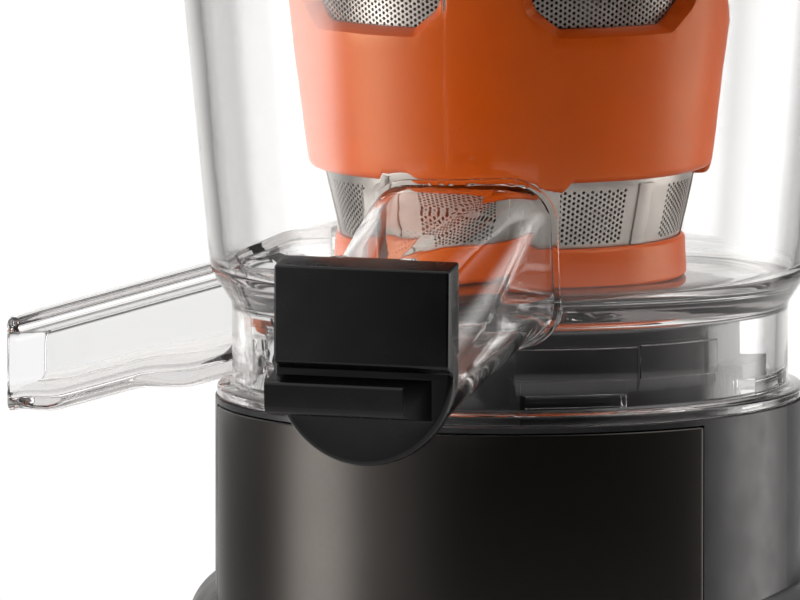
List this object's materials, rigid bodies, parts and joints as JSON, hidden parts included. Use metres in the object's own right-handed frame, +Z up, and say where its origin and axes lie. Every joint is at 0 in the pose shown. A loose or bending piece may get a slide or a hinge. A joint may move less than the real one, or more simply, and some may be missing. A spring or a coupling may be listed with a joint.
{
  "type": "cold press juicer",
  "caption": "Upright cold press juicer: geared motor base, clear bowl with capped juice spout and pulp chute, strainer, auger, lid with feed tube, hopper and pusher.",
  "frame": {"origin": "on the drive axis, in the plane of the foot ring that it stands on", "axes": "+Z up along the drive axis; -Y is the front with the juice spout, -X is the pulp chute's side"},
  "size_m": [0.2024, 0.2452, 0.437],
  "materials": {
    "rubber": "matt",
    "black_plastic": "fine grain",
    "screw_steel": "zinc plated",
    "housing_black": "fine grain",
    "panel_metal": "satin metallic dark grey",
    "bright_steel": "ground",
    "cast_case": "die cast",
    "lamination_steel": "stacked sheet edges",
    "copper_wire": "enamelled wire",
    "bronze_bush": "sintered",
    "board_green": "lacquered board",
    "white_nylon": "moulded",
    "auger_plastic": "satin",
    "clear_plastic": "clear polished",
    "orange_silicone": "satin",
    "stainless_mesh": "perforated, satin",
    "orange_plastic": "satin gloss",
    "cap_black": "satin",
    "lid_plastic": "gloss black"
  },
  "bodies": {
    "base": {"foot_ring": "rubber", "bottom_plate": "black_plastic", "bottom_screws": "screw_steel", "base_housing": "housing_black", "front_panel": "panel_metal", "top_deck": "black_plastic", "deck_screws": "screw_steel", "shaft_seal": "rubber", "output_bearings": "bright_steel", "gearbox_case": "cast_case", "gearbox_cover": "cast_case", "gearbox_screws": "screw_steel", "vibration_mounts": "rubber", "mount_screws": "screw_steel", "idler_pin": "bright_steel", "motor_stator": "lamination_steel", "stator_windings": "copper_wire", "motor_bracket_lower": "cast_case", "motor_bracket_upper": "cast_case", "motor_bolts": "screw_steel", "motor_bearings": "bronze_bush", "control_board": "board_green", "selector_switch": "black_plastic", "interlock_switch": "black_plastic", "cord_gland": "rubber", "knob_bezel": "bright_steel"},
    "rotor": {"rotor_core": "lamination_steel", "motor_shaft": "bright_steel", "motor_pinion": "bright_steel", "cooling_fan": "white_nylon"},
    "idler": {"idler_gear": "white_nylon", "idler_pinion": "bright_steel"},
    "drive": {"output_gear": "white_nylon", "drive_shaft": "bright_steel", "auger": "auger_plastic", "auger_pin": "bright_steel"},
    "bowl": {"bowl_wall": "clear_plastic", "bowl_base": "clear_plastic", "juice_spout": "clear_plastic", "pulp_tunnel": "clear_plastic", "pulp_chute": "clear_plastic", "bowl_seal": "orange_silicone", "pulp_outlet_plug": "orange_silicone", "strainer_mesh": "stainless_mesh", "strainer_band": "orange_plastic", "strainer_bottom_ring": "orange_plastic", "cap_hinge_pin": "bright_steel"},
    "cap": {"drip_stop_cap": "cap_black", "cap_seal": "rubber"},
    "lid": {"lid": "lid_plastic", "feed_tube": "lid_plastic", "lid_boss": "lid_plastic", "lid_gasket": "rubber", "lid_bush": "bronze_bush", "hopper": "lid_plastic"},
    "pusher": {"pusher_body": "clear_plastic", "pusher_cap": "cap_black"},
    "knob": {"selector_knob": "cap_black", "knob_shaft": "bright_steel"}
  },
  "joints": [
    {"name": "drive_spin", "type": "hinge", "parent": "base", "child": "drive", "pos_m": [0, 0, 0.19], "axis": [0, 0, 1], "continuous": true},
    {"name": "idler_spin", "type": "hinge", "parent": "base", "child": "idler", "pos_m": [0, 0.0315, 0.12], "axis": [0, 0, 1], "continuous": true},
    {"name": "rotor_spin", "type": "hinge", "parent": "base", "child": "rotor", "pos_m": [0, 0, 0.06], "axis": [0, 0, 1], "continuous": true},
    {"name": "bowl_turn", "type": "hinge", "parent": "base", "child": "bowl", "pos_m": [0, 0, 0.172], "axis": [0, 0, 1], "range_deg": [0, 25]},
    {"name": "cap_flip", "type": "hinge", "parent": "bowl", "child": "cap", "pos_m": [0.0142, -0.1236, 0.2142], "axis": [-1, 0, 0], "range_deg": [0, 95]},
    {"name": "lid_turn", "type": "hinge", "parent": "bowl", "child": "lid", "pos_m": [0, 0, 0.309], "axis": [0, 0, 1], "range_deg": [0, 25]},
    {"name": "pusher_slide", "type": "slide", "parent": "lid", "child": "pusher", "axis": [0, 0, 1], "range_m": [0, 0.066]},
    {"name": "knob_turn", "type": "hinge", "parent": "base", "child": "knob", "pos_m": [0.04618, -0.0591, 0.084], "axis": [0.6157, -0.788, 0], "range_deg": [-45, 45]}
  ],
  "couplings": [
    {"joint": "idler_spin", "follows": "drive_spin", "ratio": -4.25},
    {"joint": "rotor_spin", "follows": "drive_spin", "ratio": 21.25}
  ]
}
